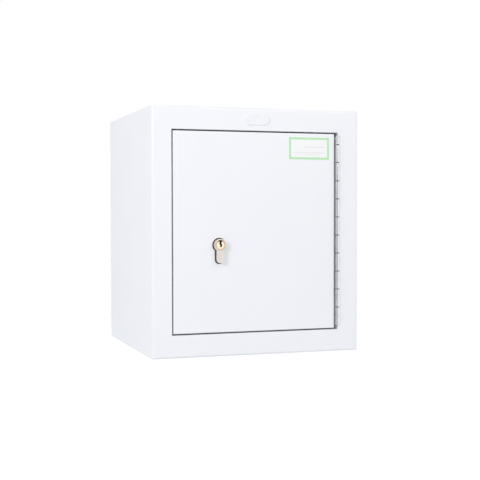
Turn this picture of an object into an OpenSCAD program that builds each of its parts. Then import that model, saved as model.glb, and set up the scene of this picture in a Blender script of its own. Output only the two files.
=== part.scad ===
// Lockable steel wall cabinet for medicines.
// +X points right, +Y goes back into the wall and +Z is up, all in millimetres.
// The origin is the centre of the back, where the cabinet meets the wall, so the front lies at -Y.
// The door hangs on the right, shut and with its bolts drawn in.

/* [Cabinet] */
// Width of the cabinet
body_w = 300; // [260:5:420]
// Height of the cabinet
body_h = 340; // [300:5:520]
// Depth of the cabinet, from the wall to the face of its front frame
body_d = 280; // [220:5:360]
// Thickness of the folded steel sheet
sheet_t = 2; // [1.5:0.1:2.4]
// Outer radius of the folds along the front edges
bend_r = 3; // [2.6:0.2:5]
// Width of the front frame on the lock side
stile_lock = 27.5; // [24:0.5:40]
// Width of the front frame on the hinge side
stile_hinge = 30.2; // [28:0.1:44]
// Height of the front frame above and below the door
rail = 31; // [28:0.5:44]
// How far the rebate lip stands into the opening behind the door
lip_w = 10; // [8:0.5:11]
// Spacing across of the four wall anchor holes
anchor_dx = 200; // [120:5:220]
// Spacing up and down of the four wall anchor holes
anchor_dz = 240; // [120:5:260]
// Diameter of a wall anchor hole
anchor_d = 10.5; // [6:0.5:13]

/* [Shelf] */
// Height of the shelf's seat above the middle of the cabinet
shelf_z = 0; // [-60:5:60]
// Thickness of the shelf's sheet
shelf_t = 1.2; // [0.8:0.1:2]
// Depth of the folded lips under the shelf
shelf_lip = 12; // [6:1:14]
// Width of each leg of the angles that carry the shelf
angle_w = 15; // [12:1:20]

/* [Blanking plug] */
// Length of the plug in the frame above the door
blank_len = 34.5; // [28:0.5:44]
// Height of the plug
blank_h = 15.7; // [12:0.5:18]
// How far the plug's rim stands out of the frame
blank_proud = 1.2; // [0.8:0.1:2]
// Width of the plug's rim around its hole
blank_rim = 2.2; // [1.5:0.1:3]

/* [Door] */
// Gap between the door and the frame
door_gap = 2; // [1.5:0.1:2.5]
// Depth of the door pan
door_t = 20; // [18:0.5:24]
// Outer radius of the folds round the door
door_bend_r = 1.4; // [1:0.1:2]
// Distance of the rivets that hold the door's back plate from the door's edge
liner_rivet_inset = 12.5; // [12:0.5:13]
// Thickness of the plate that closes the door's back
liner_t = 1.5; // [1:0.1:2]
// Length of the sign plate
label_w = 60; // [40:1:80]
// Height of the sign plate
label_h = 30.5; // [20:0.5:40]
// Distance of the sign plate from the hinge edge of the door
label_side = 8.3; // [5:0.1:30]
// Distance of the sign plate from the top of the door
label_top = 5.7; // [5:0.1:60]
// Thickness of the sign plate
label_t = 0.2; // [0.2:0.1:1]

/* [Hinge] */
// Outside diameter of a knuckle
knuckle_d = 6.9; // [6.4:0.1:7.4]
// Length of a knuckle and its share of the gap
knuckle_pitch = 25.4; // [15:0.1:40]
// Diameter of the hinge pin
hinge_pin_d = 3.8; // [3:0.1:4.2]
// Thickness of a hinge leaf
leaf_t = 1.6; // [1.2:0.1:1.6]
// Gap between the riveted parts of the two leaves when shut
leaf_gap = 2.4; // [1.8:0.1:2.4]
// How far the pin's axis stands in front of the frame
pin_stand = 4.4; // [4:0.1:5]
// Distance of the hinge from the top of the door
hinge_top = 3.5; // [2:0.5:20]
// Distance of the hinge from the bottom of the door
hinge_base = 4.8; // [2:0.1:20]

/* [Lock] */
// Distance of the lock barrel from the door's free edge
backset = 64.3; // [62:0.1:75]
// How far the lock barrel lies below the middle of the cabinet
lock_drop = 17.5; // [-10:0.5:40]
// Diameter of the round part of the cylinder
cyl_d = 17; // [17:0.1:17.4]
// Height of the cylinder's profile
cyl_h = 33; // [32:0.2:34]
// Width of the cylinder's leg
cyl_leg = 10; // [9.6:0.1:10.2]
// How far the cylinder stands out of the door
cyl_proud = 6; // [2:0.5:8]
// Gap round the cylinder in the front of the door
face_hole_gap = 1.4; // [0.6:0.1:2]
// Diameter of the turning barrel
barrel_d = 13.9; // [13:0.1:14.2]
// Gear size, as pitch diameter over the number of teeth
gear_m = 1.25; // [1.2:0.01:1.27]
// Angle of the line between the two gears above level
train_angle = 10; // [7:1:12]
// Teeth of the gear on the cylinder and of the pinion
small_teeth = 10; // [10:1:10]
// Teeth of the large wheel
large_teeth = 30; // [30:1:30]
// Width of a bolt rod
rod_w = 7.6; // [6:0.1:7.8]
// Thickness of a bolt rod
rod_t = 3.5; // [3:0.1:4]
// Thickness of the side bolt's bar
bar_t = 5; // [4:0.1:6]
// Thickness of the lock case's sheet
case_t = 1.5; // [1:0.1:1.8]

/* [Hidden] */
$fn = 64;

white_paint = "#f1f3f7";
zinc = "#c9ced3";
steel = "#a9adb1";
brass = "#d9b36a";
nickel = "#cfc6bd";
black_rubber = "#2b2b2b";
nylon = "#e9e7df";
sign_face = "#e8f3e4";

cut = 1;              // how far a cutting shape runs past what it cuts
slip = 0.3;           // gap round a piece that slides
run_fit = 0.05;       // radial gap of a shaft in its bore
hole_fit = 0.05;      // radial gap of a rivet or screw in its hole
buffer_gap = 0.2;     // gap before a soft or springy piece that only touches in use
eps = 0.01;           // overlap of shapes that are joined

// Front to back planes
face_y = -body_d;
pan_back_y = face_y + door_t;
rebate_gap = 2;
lip_front_y = pan_back_y + rebate_gap;
lip_back_y = lip_front_y + sheet_t;
liner_back_y = pan_back_y + liner_t;
inner_x = body_w / 2 - sheet_t;
inner_z = body_h / 2 - sheet_t;

// Door opening and door edges
opening_x0 = -body_w / 2 + stile_lock;
opening_x1 = body_w / 2 - stile_hinge;
opening_z = body_h / 2 - rail;
door_x0 = opening_x0 + door_gap;
door_x1 = opening_x1 - 2 * leaf_t - leaf_gap;
door_z = opening_z - door_gap;
lip_x0 = opening_x0 + lip_w;
lip_x1 = opening_x1 - lip_w;
lip_z = opening_z - lip_w;
leg_len = 10;         // length of the rebate frame's other leg
frame_edge_r = 1;

// Hinge
pin_side = 0.1;       // gap from the pin's axis to each leaf beside it
hinge_x = opening_x1 - leaf_t - pin_side;
hinge_y = face_y - pin_stand;
hinge_z1 = door_z - hinge_top;
hinge_z0 = -door_z + hinge_base;
hinge_len = hinge_z1 - hinge_z0;
knuckle_end_gap = 1.1;
shortest_knuckle = 4;
full_knuckles = floor((hinge_len - shortest_knuckle) / knuckle_pitch);
first_knuckle = hinge_len - full_knuckles * knuckle_pitch;
leaf_short = 2;       // how far the leaves end before the back of the door pan
leaf_clear = 1.3;     // gap between a leaf's web and the other leaf's knuckles
leaf_back_y = pan_back_y - leaf_short;
leaf_web_y = hinge_y + knuckle_d / 2 + leaf_clear;
crank_in = 6;         // depth behind the frame's face of the crank in the door's leaf
crank_y = face_y + crank_in;
pin_out = 0.5;        // how far the pin stands out at each end of the hinge
rivet_r = 1.6;
rivet_head_r = 2.8;
rivet_head_t = 0.6;
rivet_tail_t = 0.8;
rivet_tail_r = 2.3;
hinge_rivet_in = 11;
hinge_rivet_y = face_y + hinge_rivet_in;
hinge_rivets = 5;
hinge_rivet_pitch = hinge_len / (hinge_rivets + 0.2);

// Liner, and the flange folded in behind the door that it is riveted to
liner_inset = 9;
flange_margin = 1.4;
door_flange = liner_rivet_inset + rivet_r + flange_margin;

// Gears: stub teeth with a wide pressure angle, so that ten teeth mesh without undercut
pressure = 25;
tooth_add = 0.8 * gear_m;
tooth_ded = 1.1 * gear_m;
backlash = 0.1;       // taken off the thickness of every tooth
tooth_pitch = PI * gear_m;
small_r = gear_m * small_teeth / 2;
large_r = gear_m * large_teeth / 2;
flank_steps = 5;
barrel_x = door_x0 + backset;
barrel_z = -lock_drop;
wheel_x = barrel_x - (small_r + large_r) * cos(train_angle);
wheel_z = barrel_z + (small_r + large_r) * sin(train_angle);
full_turns = 1;       // turns of the key from open to locked
throw = 2 * PI * small_r * full_turns * small_teeth / large_teeth;

// Lock layers, front to back
case_front_y = liner_back_y;
case_floor_y = case_front_y + case_t;
wheel_t = 4.8;
wheel_gap = 0.6;
wheel_y0 = case_floor_y + wheel_gap;
wheel_y1 = wheel_y0 + wheel_t;
rack_gap = 1.1;
rack_y0 = wheel_y1 + rack_gap;
rack_y1 = rack_y0 + rod_t;
bar_gap = 0.5;
bar_y0 = rack_y1 + bar_gap;
bar_y1 = bar_y0 + bar_t;
cover_y0 = bar_y1 + bar_gap;
cover_y1 = cover_y0 + case_t;
pinion_y1 = cover_y0 - wheel_gap;

// Lock case outline, from the door's free edge and from the barrel
case_inset = 14.5;
case_beside = 11.5;
case_below = 34.5;
case_above = 36.5;
case_x0 = door_x0 + case_inset;
case_x1 = barrel_x + case_beside;
case_z0 = barrel_z - case_below;
case_z1 = barrel_z + case_above;
case_screw_inset = 5.5;
case_screw_r = 2;
case_head_r = 3.6;
case_head_t = 2.4;
case_screw_tail = 0.8;
case_cross = [3.6, 0.9, 1.4];     // length, width and depth of the cross in a screw's head
nut_t = 3.2;
nut_r = 4;

// Cylinder
slot_len = 10;        // length of the slot that the cam gear turns in
cam_mid_y = (wheel_y0 + wheel_y1) / 2;
slot_y0 = cam_mid_y - slot_len / 2;
slot_y1 = cam_mid_y + slot_len / 2;
cyl_front_y = face_y - cyl_proud;
cyl_rear = 5;         // length of the cylinder behind its slot
cyl_back_y = slot_y1 + cyl_rear;
cyl_hole_gap = 0.55;
slot_floor = 9;       // depth of the cam slot below the barrel's axis
barrel_r = barrel_d / 2;
tail_r = 3.6;
tail_flat = 2.7;
tail_out = 0.9;       // how far the barrel's tail stands out behind the clip
barrel_rim = 0.5;
barrel_proud = 0.3;   // how far the barrel stands out of the cylinder
cam_gap = 0.2;
groove_in = 0.1;
groove_deep = 0.8;
clip_t = 0.8;         // length of the groove, which the clip fills but for its slack
clip_slack = 0.05;
clip_w = 1.8;
clip_mouth = 2.2;     // half the width of the clip's open side
fix_screw_r = 2.5;
fix_screw_drop = 20;
fix_screw_z = barrel_z - fix_screw_drop;
fix_head_r = 3.4;
fix_head_t = 2.4;
fix_screw_short = 1;  // how far the screw ends inside the cylinder's leg
fix_cross = [4.4, 1, 1.3];
keyway_depth = 23;
// Outline of the keyway about the barrel's axis, open at the top
keyway = [
  [-0.3, -2.6], [-0.6, 0.4], [-1.9, 2.2], [-0.9, 4], [-1.5, barrel_r + cut],
  [1.8, barrel_r + cut], [1.3, 4], [0.5, 2.2], [2.5, 0.4], [2.1, -0.8], [1.6, -2.6]
];

// Wheel and arbor
arbor_r = 3;
arbor_collar_r = 4.4;
collar_gap = 0.1;
wheel_hole_place = 0.62 * large_r;
wheel_hole_r = 0.18 * large_r;
hex_r = 5.2;

// Bolts
rack_root = small_r + tooth_ded;
nose_gap = 0.8;       // gap between the bolts and the back of the rebate lip
tip_out = 2.5;        // how far the side bolt's tip stands out of the case
rod_short = 1;        // how far the rods end before the rebate lip
nose_clear = 0.7;     // gap between the side bolt's nose and the wheel
nose_side = 0.5;
bolt_tip_x = case_x0 - tip_out;
nose_x1 = wheel_x - large_r - tooth_add - nose_clear;
nose_z0 = fix_screw_z + fix_head_r + nose_side;
nose_z1 = barrel_z + nose_side;
rod_tip = lip_z - rod_short;
top_rod_x1 = wheel_x - rack_root;
bottom_rod_x0 = wheel_x + rack_root;
guide_w = 26;
guide_h = 10;
guide_inset = 24;     // distance of the guides from the rebate lip
guide_z = lip_z - guide_inset;
guide_foot_t = 2.5;
guide_wall = 3.5;
guide_screw_r = 1.5;
guide_screw_dx = 10.4;
guide_edge_r = 2;
guide_head_r = 2.4;
guide_head_t = 1.6;
guide_screw_tail = 2.5;

// Shelf
shelf_clear = 9.5;    // gap between the lock's cover and the shelf
shelf_gap = 2;        // gap round the shelf at the back and at its sides
shelf_front_y = cover_y1 + shelf_clear;
shelf_back_y = -sheet_t - shelf_gap;
angle_t = 1.5;
angle_front = 2;      // how far the angles start behind the shelf's front
angle_back = 8;

// Blanking plug, and the rubber buffers that the door lands on
blank_z = (opening_z + body_h / 2) / 2;
plug_edge_r = 0.7;
plug_neck = 2.5;      // length of the plug's neck behind the sheet
plug_bead = 1.2;
plug_catch = 0.5;     // how far the bead catches above and below the hole
least_bend_r = 0.2;
buffer_r = 4;
buffer_inset = 28;    // distance of the buffers from the rebate lip

// ---- Helpers ----

// Draws in the XZ plane and fills from y0 back to y1
module slab(y0, y1) {
  translate([0, y1, 0])
    rotate([90, 0, 0])
      linear_extrude(y1 - y0)
        children();
}

// Draws in the YZ plane and fills from x0 to x1
module along_x(x0, x1) {
  translate([x0, 0, 0])
    rotate([90, 0, 90])
      linear_extrude(x1 - x0)
        children();
}

// Rectangle between two corners
module rect(x0, x1, z0, z1) {
  translate([x0, z0])
    square([x1 - x0, z1 - z0]);
}

module disc(x, z, r) {
  translate([x, z])
    circle(r);
}

// Outline seen from above, across by depth, with its two front corners rounded
module front_round(a0, a1, front, back, r) {
  rect(a0, a1, front + r, back);
  rect(a0 + r, a1 - r, front, back);
  disc(a0 + r, front + r, r);
  disc(a1 - r, front + r, r);
}

// Block whose four front edges are rounded like folded sheet
module folded_block(x0, x1, z0, z1, front, back, r) {
  intersection() {
    translate([0, 0, z0])
      linear_extrude(z1 - z0)
        front_round(x0, x1, front, back, r);
    along_x(x0, x1)
      mirror([1, -1, 0])
        front_round(z0, z1, front, back, r);
  }
}

// Outline of an opening that flares at its front, so that what is left has a round edge
module front_flare(a0, a1, front, back, r) {
  rect(a0, a1, front - cut, back);
  difference() {
    rect(a0 - r, a1 + r, front - cut, front + r);
    disc(a0 - r, front + r, r);
    disc(a1 + r, front + r, r);
  }
}

module flared_cut(x0, x1, z0, z1, front, back, r) {
  intersection() {
    translate([0, 0, z0 - r])
      linear_extrude(z1 - z0 + 2 * r)
        front_flare(x0, x1, front, back, r);
    along_x(x0 - r, x1 + r)
      mirror([1, -1, 0])
        front_flare(z0, z1, front, back, r);
  }
}

// Slot shape with round ends
module obround(len, h) {
  square([len - h, h], center = true);
  for (s = [-1, 1])
    disc(s * (len - h) / 2, 0, h / 2);
}

// Profile of the lock cylinder: a round head over a leg with a round foot
module cylinder_profile(gap) {
  r = cyl_d / 2;
  foot_r = cyl_leg / 2;
  foot_z = -(cyl_h - r - foot_r);
  translate([barrel_x, barrel_z]) {
    circle(r + gap);
    rect(-foot_r - gap, foot_r + gap, foot_z, 0);
    disc(0, foot_z, foot_r + gap);
  }
}

// Involute angle, in degrees, at pressure angle a
function involute(a) = tan(a) * 180 / PI - a;

// Half the angle that a tooth fills at radius r
function tooth_half(teeth, r) =
  let (pitch_r = gear_m * teeth / 2,
       base_r = pitch_r * cos(pressure),
       half = (tooth_pitch / 2 - backlash) / 2 / pitch_r * 180 / PI)
  half + involute(pressure) - involute(acos(min(1, base_r / r)));

// One tooth as radius and angle pairs, from one root to the other
function tooth(teeth) =
  let (pitch_r = gear_m * teeth / 2,
       base_r = pitch_r * cos(pressure),
       root_r = pitch_r - tooth_ded,
       start_r = max(base_r, root_r),
       step = (pitch_r + tooth_add - start_r) / flank_steps)
  concat(
    [[root_r, -tooth_half(teeth, start_r)]],
    [for (i = [0:flank_steps]) [start_r + i * step, -tooth_half(teeth, start_r + i * step)]],
    [for (i = [flank_steps:-1:0]) [start_r + i * step, tooth_half(teeth, start_r + i * step)]],
    [[root_r, tooth_half(teeth, start_r)]]
  );

// Gear outline with a tooth pointing at angle a
module gear(teeth, a) {
  polygon([
    for (i = [0:teeth - 1])
      for (p = tooth(teeth))
        p[0] * [cos(p[1] + a + i * 360 / teeth), sin(p[1] + a + i * 360 / teeth)]
  ]);
}

// Toothed edge of a rack: teeth point up from the pitch line, at the places given in tooth pitches
function rack_edge(places) =
  let (half = (tooth_pitch / 2 - backlash) / 2,
       root_half = half + tooth_ded * tan(pressure),
       tip_half = half - tooth_add * tan(pressure))
  [for (k = places) each [
    [k * tooth_pitch - root_half, -tooth_ded],
    [k * tooth_pitch - tip_half, tooth_add],
    [k * tooth_pitch + tip_half, tooth_add],
    [k * tooth_pitch + root_half, -tooth_ded]
  ]];

// Rivet along an axis that starts under its head: shank through the grip, tail behind it
module rivet(grip) {
  translate([0, 0, -rivet_head_t])
    cylinder(h = rivet_head_t, r = rivet_head_r);
  cylinder(h = grip + rivet_tail_t, r = rivet_r);
  translate([0, 0, grip])
    cylinder(h = rivet_tail_t, r = rivet_tail_r);
}

// ---- Cabinet ----

module cabinet_shell() {
  color(white_paint)
    difference() {
      union() {
        difference() {
          folded_block(-body_w / 2, body_w / 2, -body_h / 2, body_h / 2, face_y, 0, bend_r);
          folded_block(-inner_x, inner_x, -inner_z, inner_z, face_y + sheet_t, cut,
                       max(bend_r - sheet_t, least_bend_r));
        }
        // the frame's edge, turned back round the door
        slab(face_y + sheet_t - eps, lip_front_y)
          rect(opening_x0 - sheet_t, opening_x1 + sheet_t, -opening_z - sheet_t, opening_z + sheet_t);
      }
      flared_cut(opening_x0, opening_x1, -opening_z, opening_z, face_y, lip_front_y + cut, frame_edge_r);
      slab(face_y - cut, face_y + sheet_t + cut)
        translate([0, blank_z])
          obround(blank_len - 2 * blank_rim, blank_h - 2 * blank_rim);
      for (z = hinge_rivet_zs())
        translate([opening_x1 - cut, hinge_rivet_y, z])
          rotate([0, 90, 0])
            cylinder(h = sheet_t + 2 * cut, r = rivet_r + hole_fit);
    }
}

// Angle frame welded round the opening: the lip that the door shuts against
module rebate_frame() {
  outer = 2 * sheet_t;
  color(white_paint)
    difference() {
      slab(lip_back_y - leg_len, lip_back_y)
        rect(opening_x0 - outer, opening_x1 + outer, -opening_z - outer, opening_z + outer);
      slab(lip_back_y - leg_len - cut, lip_front_y)
        rect(opening_x0 - sheet_t, opening_x1 + sheet_t, -opening_z - sheet_t, opening_z + sheet_t);
      slab(lip_front_y - cut, lip_back_y + cut)
        rect(lip_x0, lip_x1, -lip_z, lip_z);
    }
}

module back_panel() {
  color(white_paint)
    difference() {
      slab(-sheet_t, 0)
        rect(-inner_x, inner_x, -inner_z, inner_z);
      slab(-sheet_t - cut, cut)
        for (sx = [-1, 1], sz = [-1, 1])
          disc(sx * anchor_dx / 2, sz * anchor_dz / 2, anchor_d / 2);
    }
}

module shelf_angles() {
  color(white_paint)
    for (s = [-1, 1])
      slab(shelf_front_y + angle_front, shelf_back_y - angle_back)
        mirror([(1 - s) / 2, 0])
          difference() {
            rect(inner_x - angle_w, inner_x, shelf_z - angle_w, shelf_z);
            rect(0, inner_x - angle_t, shelf_z - angle_w - cut, shelf_z - angle_t);
          }
}

module shelf() {
  half = inner_x - shelf_gap;
  lip_half = inner_x - angle_w - angle_t;
  color(white_paint) {
    slab(shelf_front_y, shelf_back_y)
      rect(-half, half, shelf_z, shelf_z + shelf_t);
    for (y = [shelf_front_y, shelf_back_y - shelf_t])
      slab(y, y + shelf_t)
        rect(-lip_half, lip_half, shelf_z - shelf_lip, shelf_z + eps);
  }
}

// Snap-in plastic plug that closes a hole in the frame above the door
module blanking_plug() {
  half = blank_h / 2;
  straight = blank_len - blank_h;
  neck_h = blank_h - 2 * blank_rim - 2 * slip;
  color(white_paint)
    translate([0, face_y, blank_z]) {
      // rim with a round edge: two half turns joined by a straight stretch
      for (s = [-1, 1])
        translate([s * straight / 2, 0, 0])
          rotate([90, 0, 0])
            rotate_extrude()
              rim_profile(half, plug_edge_r);
      along_x(-straight / 2, straight / 2)
        for (m = [0, 1])
          mirror([0, m, 0])
            mirror([1, 0, 0])
              mirror([1, -1, 0])
                rim_profile(half, plug_edge_r);
      // neck through the sheet, with a bead that catches behind it
      slab(-eps, sheet_t + plug_neck)
        obround(neck_h + straight, neck_h);
      slab(sheet_t + buffer_gap, sheet_t + buffer_gap + plug_bead)
        obround(neck_h + straight + 2 * slip, neck_h + 2 * slip + 2 * plug_catch);
    }
}

module rim_profile(half, r) {
  square([half, blank_proud - r]);
  square([half - r, blank_proud]);
  intersection() {
    disc(half - r, blank_proud - r, r);
    square([half, blank_proud]);
  }
}

module door_buffers() {
  color(black_rubber)
    slab(pan_back_y + buffer_gap, lip_front_y)
      for (s = [-1, 1])
        disc((opening_x0 + lip_x0) / 2, s * (lip_z - buffer_inset), buffer_r);
}

// ---- Hinge ----

function knuckle_z1(i) = i == 0 ? hinge_z1 : hinge_z1 - first_knuckle - (i - 1) * knuckle_pitch;
function knuckle_z0(i) = hinge_z1 - first_knuckle - i * knuckle_pitch;
function hinge_rivet_zs() =
  [for (i = [0:hinge_rivets - 1])
    (hinge_z0 + hinge_z1) / 2 + (i - (hinge_rivets - 1) / 2) * hinge_rivet_pitch];

// One leaf with every second knuckle. Its web starts at front beside the pin, and the part that is
// riveted on lies at plate; where the two differ, the web is cranked.
module hinge_leaf(first, front, plate) {
  color(zinc)
    difference() {
      union() {
        translate([hinge_x, 0, hinge_z0])
          linear_extrude(hinge_len) {
            rect(front, front + leaf_t, leaf_web_y, crank_y + leaf_t);
            rect(plate, front + leaf_t, crank_y, crank_y + leaf_t);
            rect(plate, plate + leaf_t, crank_y, leaf_back_y);
          }
        for (i = [first:2:full_knuckles])
          let (z0 = knuckle_z0(i) + (i == full_knuckles ? 0 : knuckle_end_gap / 2),
               z1 = knuckle_z1(i) - (i == 0 ? 0 : knuckle_end_gap / 2))
          translate([hinge_x, 0, z0])
            linear_extrude(z1 - z0) {
              disc(0, hinge_y, knuckle_d / 2);
              rect(front, front + leaf_t, hinge_y, leaf_web_y + eps);
            }
      }
      translate([hinge_x, hinge_y, hinge_z0 - cut])
        cylinder(h = hinge_len + 2 * cut, r = hinge_pin_d / 2 + run_fit);
      for (z = hinge_rivet_zs())
        translate([hinge_x + plate - cut, hinge_rivet_y, z])
          rotate([0, 90, 0])
            cylinder(h = leaf_t + 2 * cut, r = rivet_r + hole_fit);
    }
}

module hinge_frame_leaf() {
  hinge_leaf(0, pin_side, pin_side);
}

module hinge_door_leaf() {
  hinge_leaf(1, -pin_side - leaf_t, door_x1 - hinge_x);
}

module hinge_pin() {
  color(steel)
    translate([hinge_x, hinge_y, hinge_z0 - pin_out])
      cylinder(h = hinge_len + 2 * pin_out, r = hinge_pin_d / 2);
}

module hinge_frame_rivets() {
  color(zinc)
    for (z = hinge_rivet_zs())
      translate([opening_x1 - leaf_t, hinge_rivet_y, z])
        rotate([0, 90, 0])
          rivet(leaf_t + sheet_t);
}

module hinge_door_rivets() {
  color(zinc)
    for (z = hinge_rivet_zs())
      translate([door_x1 + leaf_t, hinge_rivet_y, z])
        rotate([0, -90, 0])
          rivet(leaf_t + sheet_t);
}

// ---- Door ----

function liner_rivet_places() =
  let (x0 = door_x0 + liner_rivet_inset,
       x1 = door_x1 - liner_rivet_inset,
       z1 = door_z - liner_rivet_inset,
       mid_x = (x0 + x1) / 2)
  concat(
    [for (s = [-1, 1], x = [x0, mid_x, x1]) [x, s * z1]],
    [for (s = [-1, 1]) [x1, s * z1 / 3]],
    [[x0, case_z1 + (z1 - case_z1) / 2], [x0, case_z0 - (z1 + case_z0) / 2]]
  );

module door_pan() {
  color(white_paint)
    difference() {
      folded_block(door_x0, door_x1, -door_z, door_z, face_y, pan_back_y, door_bend_r);
      slab(face_y + sheet_t, pan_back_y - sheet_t)
        rect(door_x0 + sheet_t, door_x1 - sheet_t, -door_z + sheet_t, door_z - sheet_t);
      slab(pan_back_y - sheet_t - cut, pan_back_y + cut)
        rect(door_x0 + door_flange, door_x1 - door_flange, -door_z + door_flange, door_z - door_flange);
      slab(face_y - cut, face_y + sheet_t + cut)
        cylinder_profile(face_hole_gap);
      slab(pan_back_y - sheet_t - cut, pan_back_y + cut)
        for (p = liner_rivet_places())
          disc(p[0], p[1], rivet_r + hole_fit);
      for (z = hinge_rivet_zs())
        translate([door_x1 - sheet_t - cut, hinge_rivet_y, z])
          rotate([0, 90, 0])
            cylinder(h = sheet_t + 2 * cut, r = rivet_r + hole_fit);
    }
}

module door_liner() {
  color(white_paint)
    slab(pan_back_y, liner_back_y)
      difference() {
        rect(door_x0 + liner_inset, door_x1 - liner_inset, -door_z + liner_inset, door_z - liner_inset);
        cylinder_profile(cyl_hole_gap);
        for (p = liner_rivet_places())
          disc(p[0], p[1], rivet_r + hole_fit);
        for (p = case_screw_places())
          disc(p[0], p[1], case_screw_r + hole_fit);
        for (p = guide_screw_places())
          disc(p[0], p[1], guide_screw_r + hole_fit);
      }
}

module liner_rivets() {
  color(zinc)
    for (p = liner_rivet_places())
      translate([p[0], liner_back_y, p[1]])
        rotate([90, 0, 0])
          rivet(liner_t + sheet_t);
}

module sign_plate() {
  color(sign_face)
    slab(face_y - label_t, face_y)
      rect(door_x1 - label_side - label_w, door_x1 - label_side, door_z - label_top - label_h,
           door_z - label_top);
}

// ---- Lock case ----

function case_screw_places() =
  [for (x = [case_x0 + case_screw_inset, case_x1 - case_screw_inset],
        z = [case_z0 + case_screw_inset, case_z1 - case_screw_inset]) [x, z]];

module lock_case() {
  color(steel)
    difference() {
      slab(case_front_y, cover_y0)
        rect(case_x0, case_x1, case_z0, case_z1);
      slab(case_floor_y, cover_y0 + cut)
        rect(case_x0 + case_t, case_x1 - case_t, case_z0 + case_t, case_z1 - case_t);
      slab(case_front_y - cut, case_floor_y + cut) {
        cylinder_profile(cyl_hole_gap);
        disc(wheel_x, wheel_z, arbor_r + hole_fit);
        for (p = case_screw_places())
          disc(p[0], p[1], case_screw_r + hole_fit);
      }
      // ways out for the side bolt, the two rods and the cylinder's screw
      slab(lip_back_y + nose_gap - slip, cover_y0 + cut)
        rect(case_x0 - cut, case_x0 + case_t + cut, nose_z0 - slip, nose_z1 + slip);
      slab(rack_y0 - slip, rack_y1 + slip) {
        rect(top_rod_x1 - rod_w - slip, top_rod_x1 + slip, case_z1 - case_t - cut, case_z1 + cut);
        rect(bottom_rod_x0 - slip, bottom_rod_x0 + rod_w + slip, case_z0 - cut, case_z0 + case_t + cut);
      }
      translate([case_x0 - cut, cam_mid_y, fix_screw_z])
        rotate([0, 90, 0])
          cylinder(h = case_t + 2 * cut, r = fix_screw_r + hole_fit);
    }
}

module lock_cover() {
  color(steel)
    slab(cover_y0, cover_y1)
      difference() {
        rect(case_x0, case_x1, case_z0, case_z1);
        disc(wheel_x, wheel_z, arbor_r + hole_fit);
        for (p = case_screw_places())
          disc(p[0], p[1], case_screw_r + hole_fit);
      }
}

module lock_screws() {
  color(zinc)
    for (p = case_screw_places()) {
      slab(pan_back_y - nut_t - case_screw_tail, cover_y1)
        disc(p[0], p[1], case_screw_r);
      difference() {
        slab(cover_y1, cover_y1 + case_head_t)
          disc(p[0], p[1], case_head_r);
        slab(cover_y1 + case_head_t - case_cross[2], cover_y1 + case_head_t + cut)
          for (a = [0, 90])
            translate([p[0], p[1]])
              rotate(a)
                square([case_cross[0], case_cross[1]], center = true);
      }
    }
}

module lock_nuts() {
  color(zinc)
    slab(pan_back_y - nut_t, pan_back_y)
      for (p = case_screw_places())
        difference() {
          translate([p[0], p[1]])
            circle(nut_r, $fn = 6);
          disc(p[0], p[1], case_screw_r + hole_fit);
        }
}

// Pin on which the wheel turns, riveted into the case's floor and its cover
module wheel_arbor() {
  color(steel) {
    slab(case_front_y, cover_y1)
      disc(wheel_x, wheel_z, arbor_r);
    slab(case_floor_y, wheel_y0 - collar_gap)
      disc(wheel_x, wheel_z, arbor_collar_r);
  }
}

// ---- Rod guides ----

function top_rod_mid() = top_rod_x1 - rod_w / 2;
function bottom_rod_mid() = bottom_rod_x0 + rod_w / 2;
function guide_screw_places() =
  [for (s = [-1, 1]) each [[top_rod_mid() + s * guide_screw_dx, guide_z],
                           [bottom_rod_mid() + s * guide_screw_dx, -guide_z]]];

module rod_guide(x, z) {
  block_w = rod_w + 2 * slip + 2 * guide_wall;
  block_y1 = rack_y1 + slip + guide_wall;
  difference() {
    union() {
      slab(liner_back_y, liner_back_y + guide_foot_t)
        rect(x - guide_w / 2, x + guide_w / 2, z - guide_h / 2, z + guide_h / 2);
      translate([0, 0, z - guide_h / 2])
        linear_extrude(guide_h)
          mirror([0, 1, 0])
            front_round(x - block_w / 2, x + block_w / 2, -block_y1, -liner_back_y,
                        guide_edge_r);
    }
    slab(rack_y0 - slip, rack_y1 + slip)
      rect(x - rod_w / 2 - slip, x + rod_w / 2 + slip, z - guide_h, z + guide_h);
    slab(liner_back_y - cut, liner_back_y + guide_foot_t + cut)
      for (s = [-1, 1])
        disc(x + s * guide_screw_dx, z, guide_screw_r + hole_fit);
  }
}

module rod_guides() {
  color(nylon) {
    rod_guide(top_rod_mid(), guide_z);
    rod_guide(bottom_rod_mid(), -guide_z);
  }
}

module guide_screws() {
  foot_y = liner_back_y + guide_foot_t;
  color(zinc)
    for (p = guide_screw_places()) {
      slab(pan_back_y - guide_screw_tail, foot_y)
        disc(p[0], p[1], guide_screw_r);
      slab(foot_y, foot_y + guide_head_t)
        disc(p[0], p[1], guide_head_r);
    }
}

// ---- Cylinder ----

module cylinder_body() {
  color(nickel)
    difference() {
      slab(cyl_front_y, cyl_back_y)
        cylinder_profile(0);
      slab(cyl_front_y - cut, slot_y0 + cut)
        disc(barrel_x, barrel_z, barrel_r + run_fit);
      slab(slot_y1 - cut, cyl_back_y + cut)
        disc(barrel_x, barrel_z, tail_r + run_fit);
      slab(slot_y0, slot_y1)
        rect(barrel_x - cyl_d, barrel_x + cyl_d, barrel_z - slot_floor, barrel_z + cyl_d);
      translate([barrel_x - cyl_d, cam_mid_y, fix_screw_z])
        rotate([0, 90, 0])
          cylinder(h = 2 * cyl_d, r = fix_screw_r + hole_fit);
    }
}

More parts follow.
